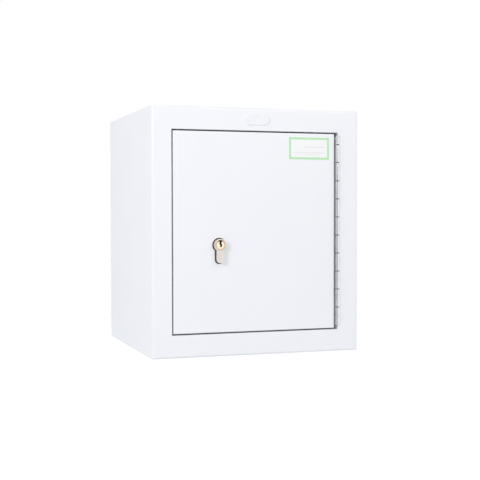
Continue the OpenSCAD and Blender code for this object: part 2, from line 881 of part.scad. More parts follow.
module cylinder_screw() {
  color(zinc)
    translate([case_x0, cam_mid_y, fix_screw_z])
      rotate([0, 90, 0]) {
        cylinder(h = barrel_x + cyl_leg / 2 - fix_screw_short - case_x0, r = fix_screw_r);
        difference() {
          translate([0, 0, -fix_head_t])
            cylinder(h = fix_head_t, r = fix_head_r);
          translate([0, 0, -fix_head_t - cut])
            linear_extrude(cut + fix_cross[2])
              for (a = [0, 90])
                rotate(a)
                  square([fix_cross[0], fix_cross[1]], center = true);
        }
      }
}

// Shaft end with a flat, where the cam gear sits
module tail_outline(gap) {
  intersection() {
    circle(tail_r + gap);
    rect(-tail_r - cut, tail_r + cut, -tail_r - cut, tail_flat + gap);
  }
}

// Turning barrel; the keyway is a crooked slot broached down from its top
module cylinder_barrel() {
  front = cyl_front_y - barrel_proud;
  tail_y1 = cyl_back_y + clip_t + tail_out;
  color(brass)
    difference() {
      translate([barrel_x, 0, barrel_z]) {
        translate([0, front, 0])
          rotate([-90, 0, 0])
            rotate_extrude()
              polygon([[0, 0], [barrel_r - barrel_rim, 0], [barrel_r, barrel_rim],
                       [barrel_r, slot_y0 - front], [0, slot_y0 - front]]);
        slab(slot_y0 - cut, tail_y1)
          tail_outline(0);
      }
      slab(front - cut, front + keyway_depth)
        translate([barrel_x, barrel_z])
          polygon(keyway);
      translate([0, cyl_back_y + groove_in, 0])
        slab(0, clip_t)
          difference() {
            disc(barrel_x, barrel_z, tail_r + cut);
            disc(barrel_x, barrel_z, tail_r - groove_deep);
          }
    }
}

module cam_gear() {
  color(steel)
    translate([barrel_x, 0, barrel_z])
      slab(slot_y0 + cam_gap, slot_y1 - cam_gap)
        difference() {
          gear(small_teeth, 180 - train_angle);
          tail_outline(hole_fit);
        }
}

// Spring clip behind the cylinder that holds the barrel in
module barrel_clip() {
  color(steel)
    translate([barrel_x, cyl_back_y + groove_in + clip_slack, barrel_z])
      slab(0, clip_t - 2 * clip_slack)
        difference() {
          circle(tail_r + clip_w);
          circle(tail_r - groove_deep + clip_slack);
          rect(-clip_mouth, clip_mouth, -tail_r - clip_w - cut, 0);
        }
}

// ---- Gear train and bolts ----

module drive_wheel() {
  // A gap of the wheel faces the tooth of the cam gear on the line between them
  color(steel)
    translate([wheel_x, 0, wheel_z])
      slab(wheel_y0, wheel_y1)
        difference() {
          gear(large_teeth, -train_angle + 180 / large_teeth);
          circle(hex_r, $fn = 6);
          for (i = [0:5])
            rotate(i * 60 + 30)
              disc(wheel_hole_place, 0, wheel_hole_r);
        }
}

module drive_pinion() {
  color(brass)
    translate([wheel_x, 0, wheel_z])
      difference() {
        union() {
          slab(wheel_y1, pinion_y1)
            gear(small_teeth, 0);
          slab(wheel_y0, wheel_y1 + eps)
            circle(hex_r - hole_fit, $fn = 6);
        }
        slab(wheel_y0 - cut, pinion_y1 + cut)
          circle(arbor_r + run_fit);
      }
}

// Side bolt: a thick nose at the case's wall and a bar whose teeth lie under the pinion
module side_bolt() {
  last_tooth = floor(throw / tooth_pitch);
  root_z = wheel_z - rack_root;
  bar_x1 = wheel_x + (last_tooth + 0.5) * tooth_pitch;
  color(steel) {
    slab(lip_back_y + nose_gap, bar_y1)
      rect(bolt_tip_x, nose_x1, nose_z0, nose_z1);
    slab(bar_y0, bar_y1)
      polygon(concat(
        [[nose_x1 - cut, nose_z0], [nose_x1 - cut, root_z]],
        [for (q = rack_edge([-2:last_tooth])) q + [wheel_x, wheel_z - small_r]],
        [[bar_x1, root_z], [bar_x1, nose_z0]]
      ));
  }
}

// Bolt rod with teeth beside the pinion; drawn for the top and turned over for the bottom
module bolt_rod(reach) {
  behind = ceil(throw / tooth_pitch) + 1;
  end_z = -behind * tooth_pitch;
  slab(rack_y0, rack_y1)
    polygon(concat(
      [[-rack_root - rod_w, reach], [-rack_root, reach]],
      [for (q = rack_edge([-1.5:behind - 0.5])) [q[1] - small_r, -q[0]]],
      [[-rack_root, end_z], [-rack_root - rod_w, end_z]]
    ));
}

module top_bolt() {
  color(steel)
    translate([wheel_x, 0, wheel_z])
      bolt_rod(rod_tip - wheel_z);
}

module bottom_bolt() {
  color(steel)
    translate([wheel_x, 0, wheel_z])
      rotate([0, 180, 0])
        bolt_rod(rod_tip + wheel_z);
}

cabinet_shell();
rebate_frame();
back_panel();
shelf_angles();
shelf();
blanking_plug();
door_buffers();
hinge_frame_leaf();
hinge_frame_rivets();
hinge_pin();
hinge_door_leaf();
hinge_door_rivets();
door_pan();
door_liner();
liner_rivets();
sign_plate();
lock_case();
lock_cover();
lock_screws();
lock_nuts();
wheel_arbor();
rod_guides();
guide_screws();
cylinder_body();
cylinder_screw();
cylinder_barrel();
cam_gear();
barrel_clip();
drive_wheel();
drive_pinion();
side_bolt();
top_bolt();
bottom_bolt();
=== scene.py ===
"""Finishes, studio and camera for a lockable steel wall cabinet.

The cabinet has a piano hinge and a geared lock that throws three bolts.
"""

import math

import bpy
from bpy.props import FloatProperty, FloatVectorProperty, PointerProperty
from mathutils import Matrix, Vector


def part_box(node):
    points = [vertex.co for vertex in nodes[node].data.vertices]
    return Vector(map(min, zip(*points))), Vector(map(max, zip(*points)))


bl_info = {
    "name": "Lockable Cabinet Finishes",
    "version": (1, 0, 0),
    "blender": (4, 5, 0),
    "location": "3D View > Sidebar > Cabinet",
    "description": "Finishes, printed sign and studio for a lockable steel wall cabinet",
    "category": "Material",
}

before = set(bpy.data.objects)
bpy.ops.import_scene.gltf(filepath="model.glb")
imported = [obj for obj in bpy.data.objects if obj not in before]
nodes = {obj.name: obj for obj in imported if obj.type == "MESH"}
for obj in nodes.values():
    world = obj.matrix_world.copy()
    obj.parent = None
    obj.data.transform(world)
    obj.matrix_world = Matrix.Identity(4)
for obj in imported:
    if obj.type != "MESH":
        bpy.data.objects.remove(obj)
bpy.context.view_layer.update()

# Nodes that share a finish
COATED = (
    "cabinet_shell", "rebate_frame", "back_panel", "shelf_angles", "shelf", "door_pan",
    "door_liner",
)
PLATED = (
    "hinge_frame_rivets", "hinge_door_rivets", "liner_rivets", "lock_screws", "lock_nuts",
    "guide_screws", "cylinder_screw", "lock_case", "lock_cover",
)
GROUND = ("wheel_arbor", "barrel_clip", "side_bolt", "top_bolt", "bottom_bolt")
HINGE_LEAVES = ("hinge_frame_leaf", "hinge_door_leaf")

WHITE = (1.0, 1.0, 1.0)
# Painted shade in the hinge's gap: the colour of a dark film on the leaves, and its strength
GAP_SHADE_COLOUR = (0.02, 0.018, 0.016)
GAP_SHADE_SHARE = 0.4  # how much of the metal the painted gap shade covers where it is deepest
# Colour of the painted shade on the barrel, round the top of its keyway and deep inside it
BARREL_SHADE_COLOUR = (0.09, 0.034, 0.008)

# Patches of painted shade on the barrel's face round the top of its keyway, from its axis, in
# metres
BARREL_SHADE_PATCHES = (
    {"right": -0.0003, "above": 0.0058, "half_width": 0.0031, "half_height": 0.001, "soft": 0.0016},
    {"right": 0.0001, "above": 0.003, "half_width": 0.0012, "half_height": 0.0024, "soft": 0.001},
)
# Printed rules: start and stop as shares of the sign's width, down as a share of its height,
# and thickness in metres
SIGN_RULES = (
    {"start": 0.36, "stop": 0.9, "down": 0.43, "thickness": 0.0016},
    {"start": 0.15, "stop": 0.89, "down": 0.69, "thickness": 0.0013},
    {"start": 0.18, "stop": 0.77, "down": 0.785, "thickness": 0.0009},
)

MIX_INPUTS = (0, 6, 7)  # factor and both colours on a colour Mix node
MIX_OUTPUT = 2
NOISE_SPAN = (0.35, 0.65)  # most values of a noise lie between these
GRIT_FINENESS = 4.3  # how much finer than the swells of the peel
EDGE_COSINES = (0.997, 0.9)  # of rounded and true normals, where an edge starts and is full
FINE_LINES = 0.65  # their share against the broad lines
DEPTH_SHADE_FADE = 0.003  # metres over which the painted depth shade fades out at its end

# Relief in metres
PRINT_RELIEF = 0.000004
DRAWN_RELIEF = 0.000004
TURNED_RELIEF = 0.000006

# Roughness: what the coat's patches and the barrel's rings add to the settings
COAT_SPREAD = (-0.03, 0.04)
BARREL_SPREAD = (0.0, 0.1)

# Painted shade on the rim of a turned part, heavier towards the top
RIM_START = 0.6  # share of its radius at which the rim starts
RIM_SHADE_TINT = (0.6, 0.38, 0.22)
LOW_RIM_SHADE = 0.8  # strength below the axis, against 1 at the top

MATT = 0.9  # roughness of the floor and the card
FLOOR_REACH = 9.0
SENSOR_WIDTH = 36.0  # millimetres
CAMERA_RANGE = (0.01, 60.0)


# ---- Shader helpers ----


class Graph:
    """A node tree with short ways to add nodes, fill their sockets and join them."""

    def __init__(self, tree):
        self.tree = tree

    def fill(self, socket, value):
        """Joins value to the socket if it is a node or its output, and else sets it."""
        if isinstance(value, bpy.types.Node):
            value = value.outputs[0]
        if isinstance(value, bpy.types.NodeSocket):
            self.tree.links.new(value, socket)
        else:
            socket.default_value = value

    def set(self, node, **sockets):
        """Fills the node's sockets by name, with an underscore for each space."""
        for name, value in sockets.items():
            label = name.replace("_", " ")
            self.fill(next(s for s in node.inputs if s.name == label and s.enabled), value)
        return node

    def add(self, kind, settings=None, **sockets):
        node = self.tree.nodes.new(kind)
        for name, value in (settings or {}).items():
            setattr(node, name, value)
        return self.set(node, **sockets)

    def group(self, name, **sockets):
        """A node of the shared effect of that name, which is built the first time."""
        node = self.tree.nodes.new("ShaderNodeGroup")
        node.node_tree = bpy.data.node_groups.get(name) or EFFECTS[name](name)
        return self.set(node, **sockets)

    def math(self, operation, *values, clamp=False):
        node = self.add("ShaderNodeMath", {"operation": operation, "use_clamp": clamp})
        for socket, value in zip(node.inputs, values):
            self.fill(socket, value)
        return node.outputs[0]

    def vector(self, operation, *values):
        node = self.add("ShaderNodeVectorMath", {"operation": operation})
        for socket, value in zip(node.inputs, values):
            self.fill(socket, value)
        return node.outputs["Value" if operation in ("DOT_PRODUCT", "LENGTH") else "Vector"]

    def split(self, vector, axis):
        return self.add("ShaderNodeSeparateXYZ", Vector=vector).outputs[axis]

    def normal(self):
        return self.add("ShaderNodeNewGeometry").outputs["Normal"]

    def noise(self, vector, scale, detail=2.0, roughness=0.5):
        node = self.add(
            "ShaderNodeTexNoise", Vector=vector, Scale=scale, Detail=detail, Roughness=roughness
        )
        return node.outputs["Fac"]

    def remap(self, value, low, high, to_low=0.0, to_high=1.0, smooth=False):
        node = self.add(
            "ShaderNodeMapRange", {"interpolation_type": "SMOOTHSTEP" if smooth else "LINEAR"},
            Value=value, From_Min=low, From_Max=high, To_Min=to_low, To_Max=to_high,
        )
        return node.outputs["Result"]

    def blend(self, factor, first, second):
        node = self.add("ShaderNodeMix", {"data_type": "RGBA"})
        for place, value in zip(MIX_INPUTS, (factor, first, second)):
            self.fill(node.inputs[place], value)
        return node.outputs[MIX_OUTPUT]

    def blend_value(self, factor, first, second):
        rest = self.math("MULTIPLY", self.math("SUBTRACT", 1.0, factor), first)
        return self.math("ADD", rest, self.math("MULTIPLY", factor, second))

    def tint(self, tone, mask, strength, colour):
        """Takes tone towards colour where the mask is, by no more than the strength."""
        return self.blend(self.math("MULTIPLY", mask, strength), tone, rgba(colour))

    def raised(self, value, mask, amount, clamp=False):
        """The value, raised by the amount where the mask is."""
        return self.math("ADD", value, self.math("MULTIPLY", mask, amount), clamp=clamp)

    def bump(self, height, distance):
        return self.add("ShaderNodeBump", Height=height, Distance=distance).outputs["Normal"]


def rgba(colour):
    return (colour[0], colour[1], colour[2], 1.0)


def whitened(colour, share):
    return colour.lerp(Vector(WHITE), share)


def new_group(name, takes, gives):
    """An empty shader group, as its graph, its given values and the node that ends it.

    Takes holds the default of each input: a number makes a value socket, anything else a vector
    socket. Gives names the outputs, which are all values.
    """
    tree = bpy.data.node_groups.new(name, "ShaderNodeTree")
    for label, default in takes.items():
        kind = "NodeSocketFloat" if isinstance(default, float) else "NodeSocketVector"
        socket = tree.interface.new_socket(name=label, in_out="INPUT", socket_type=kind)
        if default is not None:
            socket.default_value = default
    for label in gives:
        tree.interface.new_socket(name=label, in_out="OUTPUT", socket_type="NodeSocketFloat")
    graph = Graph(tree)
    return graph, graph.add("NodeGroupInput").outputs, graph.add("NodeGroupOutput")


# ---- Shared effects ----


def make_cloud(name):
    """Slow, soft change over the surface, from 0 to 1."""
    g, given, end = new_group(name, {"Vector": None, "Size": 0.05}, ["Value"])
    scale = g.math("DIVIDE", 1.0, given["Size"])
    fac = g.noise(given["Vector"], scale, detail=3.0, roughness=0.55)
    g.set(end, Value=g.remap(fac, 0.3, 0.7, smooth=True))
    return g.tree


def make_peel(name):
    """Orange peel of a baked powder coat: low rounded swells under finer grit."""
    takes = {"Vector": None, "Peel Size": 0.001, "Grit": 0.3}
    g, given, end = new_group(name, takes, ["Height", "Shade"])
    scale = g.math("DIVIDE", 1.0, given["Peel Size"])
    swell = g.noise(given["Vector"], scale, detail=1.0, roughness=0.4)
    finer = g.math("MULTIPLY", scale, GRIT_FINENESS)
    fine = g.noise(given["Vector"], finer, detail=2.0, roughness=0.6)
    height = g.math("ADD", swell, g.math("MULTIPLY", fine, given["Grit"]))
    g.set(end, Height=height, Shade=g.remap(height, 0.4, 0.9))
    return g.tree


def make_edge(name):
    """Mask of the outer edges, broken up by noise.

    An edge is where a rounded normal and the true one disagree.
    """
    takes = {"Vector": None, "Radius": 0.001, "Breakup": 0.5}
    g, given, end = new_group(name, takes, ["Mask"])
    bevel = g.add("ShaderNodeBevel", {"samples": 4}, Radius=given["Radius"])
    agree = g.vector("DOT_PRODUCT", bevel.outputs["Normal"], g.normal())
    turn = g.remap(agree, *EDGE_COSINES, smooth=True)
    fac = g.noise(given["Vector"], scale=420.0, detail=3.0, roughness=0.6)
    broken = g.remap(fac, *NOISE_SPAN, g.math("SUBTRACT", 1.0, given["Breakup"]), 1.0)
    g.set(end, Mask=g.math("MULTIPLY", turn, broken, clamp=True))
    return g.tree


def make_lines(name):
    """Fine lines left by drawing, rolling or brushing.

    Pitch is the line spacing along each axis, and is long along the lines.
    """
    takes = {"Vector": None, "Pitch": (0.0003, 0.0003, 0.02)}
    g, given, end = new_group(name, takes, ["Height", "Shade"])
    along = g.vector("DIVIDE", given["Vector"], given["Pitch"])
    fine = g.noise(along, scale=1.0, detail=3.0, roughness=0.65)
    broad = g.noise(along, scale=0.23, detail=2.0, roughness=0.5)
    both = g.raised(g.math("MULTIPLY", fine, FINE_LINES), broad, 1.0 - FINE_LINES)
    g.set(end, Height=both, Shade=g.remap(both, *NOISE_SPAN, smooth=True))
    return g.tree


def make_rings(name):
    """Turning marks: fine rings round an axis that points along Y through Centre."""
    takes = {"Vector": None, "Centre": None, "Pitch": 0.0002}
    g, given, end = new_group(name, takes, ["Height", "Shade", "Radius"])
    offset = g.vector("SUBTRACT", given["Vector"], given["Centre"])
    flat = g.vector("MULTIPLY", offset, (1.0, 0.0, 1.0))
    radius = g.vector("LENGTH", flat)
    wander = g.math("MULTIPLY", g.noise(flat, scale=260.0, detail=1.0), 0.6)
    place = g.add("ShaderNodeCombineXYZ", X=g.math("DIVIDE", radius, given["Pitch"]), Y=wander)
    ring = g.noise(place, scale=1.0, detail=2.0, roughness=0.6)
    g.set(end, Height=ring, Shade=g.remap(ring, *NOISE_SPAN, smooth=True), Radius=radius)
    return g.tree


def make_dust(name):
    """Faint dust on faces that look up, thicker in patches."""
    g, given, end = new_group(name, {"Vector": None, "Amount": 0.2}, ["Mask"])
    up = g.remap(g.split(g.normal(), "Z"), 0.5, 0.95, smooth=True)
    fac = g.noise(given["Vector"], scale=35.0, detail=5.0, roughness=0.65)
    cover = g.math("MULTIPLY", up, g.remap(fac, 0.35, 0.7, 0.2, 1.0))
    g.set(end, Mask=g.math("MULTIPLY", cover, given["Amount"], clamp=True))
    return g.tree


def make_depth_shade(name):
    """Mask of painted shade that grows behind Start over Reach, and fades out at End.

    Start is a place along Y. Reach and End are depths behind it.
    """
    takes = {"Vector": None, "Start": 0.0, "Reach": 0.002, "End": 0.01}
    g, given, end = new_group(name, takes, ["Mask"])
    depth = g.math("SUBTRACT", g.split(given["Vector"], "Y"), given["Start"])
    fac = g.noise(given["Vector"], scale=500.0, detail=3.0, roughness=0.6)
    ragged = g.math("MULTIPLY", g.math("SUBTRACT", fac, 0.5), given["Reach"])
    share = g.math("DIVIDE", g.math("ADD", depth, ragged), given["Reach"])
    left = g.math("SUBTRACT", g.math("SUBTRACT", given["End"], depth), ragged)
    grown = g.remap(share, 0.0, 1.0, smooth=True)
    kept = g.remap(left, 0.0, DEPTH_SHADE_FADE, smooth=True)
    g.set(end, Mask=g.math("MULTIPLY", grown, kept))
    return g.tree


def make_bar(name):
    """Mask of a rectangle seen from the front, for print and for patches of painted shade.

    It is 1 inside and has a soft edge of the width of Softness.
    """
    takes = {"Vector": None, "Centre": None, "Half Size": None, "Softness": 0.0002}
    g, given, end = new_group(name, takes, ["Mask"])
    away = g.vector("ABSOLUTE", g.vector("SUBTRACT", given["Vector"], given["Centre"]))
    over = g.vector("SUBTRACT", away, given["Half Size"])
    outside = g.math("MAXIMUM", g.split(over, "X"), g.split(over, "Z"))
    inner, outer = (g.math("MULTIPLY", given["Softness"], side) for side in (-0.5, 0.5))
    g.set(end, Mask=g.remap(outside, inner, outer, 1.0, 0.0))
    return g.tree


EFFECTS = {
    "Surface Cloud": make_cloud,
    "Orange Peel": make_peel,
    "Edge Wear And Highlight": make_edge,
    "Drawn Lines": make_lines,
    "Turning Marks": make_rings,
    "Settled Dust": make_dust,
    "Depth Shade": make_depth_shade,
    "Soft Bar": make_bar,
}


# ---- Materials ----


def new_material(name):
    """A material, its graph and its Principled shader."""
    material = bpy.data.materials.new(name)
    material.use_nodes = True
    return material, Graph(material.node_tree), material.node_tree.nodes["Principled BSDF"]


def start_finish(name):
    """A material, its graph, its shader and the object coordinates in the cabinet's metres."""
    material, g, shader = new_material(name)
    return material, g, shader, g.add("ShaderNodeTexCoord").outputs["Object"]


def shade_behind(front, start, reach, end):
    """Painted shade that begins at start behind the front, thickens over reach and ends after end.
    """
    return {"Start": front + start, "Reach": reach, "End": end}


def powder_coat(paint):
    """A white coat with orange peel, soft patches, a painted highlight on its bends and edges, and
    settled dust.
    """
    material, g, shader, place = start_finish("white_powder_coat")
    cloud = g.group("Surface Cloud", Vector=place, Size=0.07).outputs["Value"]
    peel = g.group("Orange Peel", Vector=place, Peel_Size=paint.peel_size, Grit=paint.grit)
    edge = g.group("Edge Wear And Highlight", Vector=place, Radius=paint.edge_radius, Breakup=0.25)
    dust = g.group("Settled Dust", Vector=place, Amount=paint.dust).outputs["Mask"]
    tone = g.blend(cloud, rgba(paint.colour), rgba(paint.cloud_colour))
    tone = g.tint(tone, peel.outputs["Shade"], paint.peel_shade, paint.edge_colour)
    # Painted highlight on the bends and edges
    tone = g.tint(tone, edge.outputs["Mask"], paint.edge_lift, paint.edge_colour)
    tone = g.blend(dust, tone, rgba(paint.dust_colour))
    rough = g.remap(cloud, 0.0, 1.0, *(paint.roughness + change for change in COAT_SPREAD))
    rough = g.raised(rough, peel.outputs["Shade"], amount=0.05)
    rough = g.raised(rough, dust, amount=0.4, clamp=True)
    g.set(
        shader, Base_Color=tone, Roughness=rough, IOR=1.48, Coat_Weight=0.25, Coat_Roughness=0.22,
        Normal=g.bump(peel.outputs["Height"], paint.peel_depth),
    )
    return material


def moulded(
    name, colour, shade, cloud_size, grain_size, grit, depth, edge_radius, breakup, edge_lift,
    edge_colour, rough, ior,
):
    """A plastic or rubber with fine grain, soft patches of colour times shade and rubbed edges."""
    material, g, shader, place = start_finish(name)
    cloud = g.group("Surface Cloud", Vector=place, Size=cloud_size)
    grain = g.group("Orange Peel", Vector=place, Peel_Size=grain_size, Grit=grit)
    edge = g.group("Edge Wear And Highlight", Vector=place, Radius=edge_radius, Breakup=breakup)
    tone = g.blend(cloud.outputs["Value"], rgba(colour), rgba(Vector(colour) * shade))
    tone = g.tint(tone, edge.outputs["Mask"], edge_lift, edge_colour)
    g.set(
        shader, Base_Color=tone, Roughness=g.remap(grain.outputs["Shade"], 0.0, 1.0, *rough),
        IOR=ior, Normal=g.bump(grain.outputs["Height"], depth),
    )
    return material


def metal(name, colour, tint, pitch, cloud_size, rough, edge_lift=0.5, depth_shade=None):
    """A metal with lines of that pitch, soft patches of tint and rubbed edges.

    Rough is its roughness between the lines and on them. Its last argument paints shade deep in a
    gap, as a dark, dull film.
    """
    material, g, shader, place = start_finish(name)
    lines = g.group("Drawn Lines", Vector=place, Pitch=pitch)
    cloud = g.group("Surface Cloud", Vector=place, Size=cloud_size).outputs["Value"]
    edge = g.group("Edge Wear And Highlight", Vector=place, Radius=0.0005, Breakup=0.5)
    tone = g.blend(cloud, rgba(colour), rgba(tint))
    tone = g.tint(tone, lines.outputs["Shade"], strength=0.12, colour=colour * 0.7)
    tone = g.tint(tone, edge.outputs["Mask"], edge_lift, whitened(colour, 0.5))
    roughness = g.remap(lines.outputs["Shade"], 0.0, 1.0, *rough)
    roughness = g.raised(roughness, cloud, amount=0.05)
    metallic = 1.0
    # Painted shade deep in a gap: a dark, dull, less metallic film
    if depth_shade:
        painted_gap_shade = g.math("MULTIPLY", g.group("Depth Shade", Vector=place, **depth_shade), GAP_SHADE_SHARE)
        tone = g.blend(painted_gap_shade, tone, rgba(GAP_SHADE_COLOUR))
        roughness = g.blend_value(painted_gap_shade, roughness, 0.7)
        metallic = g.math("SUBTRACT", 1.0, painted_gap_shade)
    g.set(
        shader, Base_Color=tone, Roughness=roughness, Metallic=metallic,
        Normal=g.bump(lines.outputs["Height"], DRAWN_RELIEF),
    )
    return material


def shade_patch_mask(g, place, centre, right, above, half_width, half_height, soft):
    middle = centre + Vector((right, 0, above))
    half = Vector((half_width, 0, half_height))
    return g.group("Soft Bar", Vector=place, Centre=middle, Half_Size=half, Softness=soft)


def turned_metal(name, node, colour, tint, rough, rim_shade=0.0, depth_shade=None, shade_patches=()):
    """A part turned on a lathe round the Y axis through its middle, with rings and painted shade on
    its rim, heavier towards the top.
    """
    material, g, shader, place = start_finish(name)
    low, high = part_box(node)
    centre = (low + high) / 2
    reach = (high.x - low.x) / 2
    rings = g.group("Turning Marks", Vector=place, Centre=centre, Pitch=0.00018)
    cloud = g.group("Surface Cloud", Vector=place, Size=0.004)
    edge = g.group("Edge Wear And Highlight", Vector=place, Radius=0.0004, Breakup=0.4)
    tone = g.blend(cloud.outputs["Value"], rgba(colour), rgba(tint))
    tone = g.tint(tone, rings.outputs["Shade"], strength=0.15, colour=colour * 0.72)
    # Painted shade on the rim, heavier towards the top
    upward = g.remap(g.split(place, "Z"), centre.z, high.z, LOW_RIM_SHADE, 1.0, smooth=True)
    start = reach * RIM_START
    rim = g.remap(rings.outputs["Radius"], start, reach, 0.0, rim_shade, smooth=True)
    tone = g.tint(tone, rim, upward, colour * Vector(RIM_SHADE_TINT))
    tone = g.tint(tone, edge.outputs["Mask"], strength=0.45, colour=whitened(colour, 0.4))
    # Painted shade in patches round the top of the keyway
    for shade_patch in shade_patches:
        tone = g.blend(shade_patch_mask(g, place, centre, **shade_patch).outputs["Mask"], tone, rgba(BARREL_SHADE_COLOUR))
    roughness = g.remap(rings.outputs["Shade"], 0.0, 1.0, *rough)
    # Painted shade deep in the keyway, darker and duller behind the face
    if depth_shade:
        painted_keyway_shade = g.group("Depth Shade", Vector=place, **depth_shade).outputs["Mask"]
        tone = g.blend(painted_keyway_shade, tone, rgba(BARREL_SHADE_COLOUR))
        roughness = g.blend_value(painted_keyway_shade, roughness, 0.6)
    g.set(
        shader, Base_Color=tone, Roughness=roughness, Metallic=1.0,
        Normal=g.bump(rings.outputs["Height"], TURNED_RELIEF),
    )
    return material


def sign_print(sign):
    """White plate with a border and a few plain rules, and no words."""
    material, g, shader, place = start_finish("sign_print")
    low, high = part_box("sign_plate")
    middle, size = (low + high) / 2, high - low
    half = size / 2 - Vector((sign.border_width, 0, sign.border_width))
    panel = g.group("Soft Bar", Vector=place, Centre=middle, Half_Size=half, Softness=0.0003)
    cloud = g.group("Surface Cloud", Vector=place, Size=0.01).outputs["Value"]
    grain = g.group("Orange Peel", Vector=place, Peel_Size=0.0005, Grit=0.6)
    patch = Vector(sign.panel_colour) * 0.97
    paper = g.tint(rgba(sign.panel_colour), cloud, strength=0.5, colour=patch)
    ink = g.blend(cloud, rgba(sign.border_colour), rgba(Vector(sign.border_colour) * 0.94))
    tone = g.blend(panel.outputs["Mask"], ink, paper)
    for rule in SIGN_RULES:
        across = size.x * (rule["start"] + rule["stop"]) / 2
        centre = Vector((low.x + across, middle.y, high.z - size.z * rule["down"]))
        reach = Vector((size.x * (rule["stop"] - rule["start"]) / 2, 0, rule["thickness"] / 2))
        bar = g.group("Soft Bar", Vector=place, Centre=centre, Half_Size=reach, Softness=0.0006)
        tone = g.tint(tone, bar.outputs["Mask"], sign.rule_strength, sign.rule_colour)
    g.set(
        shader, Base_Color=tone, Roughness=g.remap(grain.outputs["Shade"], 0.0, 1.0, 0.3, 0.42),
        IOR=1.47, Normal=g.bump(grain.outputs["Height"], PRINT_RELIEF),
    )
    return material


def dress(names, material):
    """Puts the material on every slot of the named nodes."""
    for name in names:
        if name not in nodes:
            raise RuntimeError(f"the model has no node named {name}")
        slots = nodes[name].material_slots
        if not slots:
            raise RuntimeError(f"{name} has no material slot to fill")
        for slot in slots:
            slot.material = material


# ---- Settings ----


class PaintSettings(bpy.types.PropertyGroup):
    """The powder coat on all folded and flat steel sheet."""

    colour: FloatVectorProperty(
        name="Coat colour", description="Colour of the powder coat", subtype="COLOR",
        default=(0.893, 0.905, 0.93), min=0, max=1,
    )
    cloud_colour: FloatVectorProperty(
        name="Patch colour", description="Colour of the coat's slow patches", subtype="COLOR",
        default=(0.884, 0.897, 0.924), min=0, max=1,
    )
    # The lighter bends and edges of the coat are a painted highlight
    edge_colour: FloatVectorProperty(
        name="Edge colour", description="Colour of the coat on bends and edges", subtype="COLOR",
        default=(0.96, 0.965, 0.98), min=0, max=1,
    )
    edge_lift: FloatProperty(
        name="Edge lift", description="How much lighter bends and edges are", subtype="FACTOR",
        default=0.6, min=0, max=1,
    )
    edge_radius: FloatProperty(
        name="Edge width", description="How far the lighter edge reaches", unit="LENGTH",
        default=0.0009, min=0.0001, max=0.005,
    )
    roughness: FloatProperty(
        name="Roughness", description="Gloss of the coat, from 0 for a mirror to 1 for chalk",
        subtype="FACTOR", default=0.36, min=0.1, max=0.9,
    )
    peel_size: FloatProperty(
        name="Peel size", description="Distance between the swells of the orange peel",
        unit="LENGTH", default=0.0012, min=0.0003, max=0.005,
    )
    peel_depth: FloatProperty(
        name="Peel depth", description="Height of the orange peel", unit="LENGTH",
        default=0.00003, min=0, max=0.0002, precision=6,
    )
    peel_shade: FloatProperty(
        name="Peel shade", description="How much the swells lighten the coat", subtype="FACTOR",
        default=0.05, min=0, max=1,
    )
    grit: FloatProperty(
        name="Grit", description="Share of fine grit in the coat's relief", subtype="FACTOR",
        default=0.35, min=0, max=1,
    )
    dust: FloatProperty(
        name="Dust", description="Dust on faces that look up", subtype="FACTOR",
        default=0.06, min=0, max=1,
    )
    dust_colour: FloatVectorProperty(
        name="Dust colour", description="Colour of the dust", subtype="COLOR",
        default=(0.62, 0.6, 0.57), min=0, max=1,
    )


class MetalSettings(bpy.types.PropertyGroup):
    """Bare and plated metals."""

    hinge_colour: FloatVectorProperty(
        name="Hinge colour", description="Plated strip of the hinge", subtype="COLOR",
        default=(0.8, 0.82, 0.85), min=0, max=1,
    )
    # The pin's near-black colour is painted shade, seen through the splits between the knuckles
    pin_shade_colour: FloatVectorProperty(
        name="Pin shade colour", description="Pin of the hinge, near-black as painted shade in the knuckle splits", subtype="COLOR",
        default=(0.05, 0.048, 0.045), min=0, max=1,
    )
    zinc_colour: FloatVectorProperty(
        name="Zinc colour", description="Plating of the lock case and the small fixings",
        subtype="COLOR", default=(0.64, 0.65, 0.665), min=0, max=1,
    )
    steel_colour: FloatVectorProperty(
        name="Steel colour", description="Ground steel of the bolts and gears", subtype="COLOR",
        default=(0.5, 0.51, 0.53), min=0, max=1,
    )
    nickel_colour: FloatVectorProperty(
        name="Nickel colour", description="Satin plating of the lock cylinder", subtype="COLOR",
        default=(0.71, 0.67, 0.645), min=0, max=1,
    )
    brass_colour: FloatVectorProperty(
        name="Brass colour", description="Turning barrel and pinion", subtype="COLOR",
        default=(0.96, 0.88, 0.72), min=0, max=1,
    )
    brass_roughness: FloatProperty(
        name="Brass roughness", description="Roughness of the barrel's face", subtype="FACTOR",
        default=0.24, min=0.05, max=0.8,
    )


class PlasticSettings(bpy.types.PropertyGroup):
    """Plastic and rubber pieces."""

    plug_colour: FloatVectorProperty(
        name="Plug colour", description="Blanking plug", subtype="COLOR",
        default=(0.893, 0.905, 0.93), min=0, max=1,
    )
    nylon_colour: FloatVectorProperty(
        name="Nylon colour", description="Guides of the bolt rods", subtype="COLOR",
        default=(0.78, 0.76, 0.7), min=0, max=1,
    )
    rubber_colour: FloatVectorProperty(
        name="Rubber colour", description="Door buffers", subtype="COLOR",
        default=(0.02, 0.02, 0.021), min=0, max=1,
    )


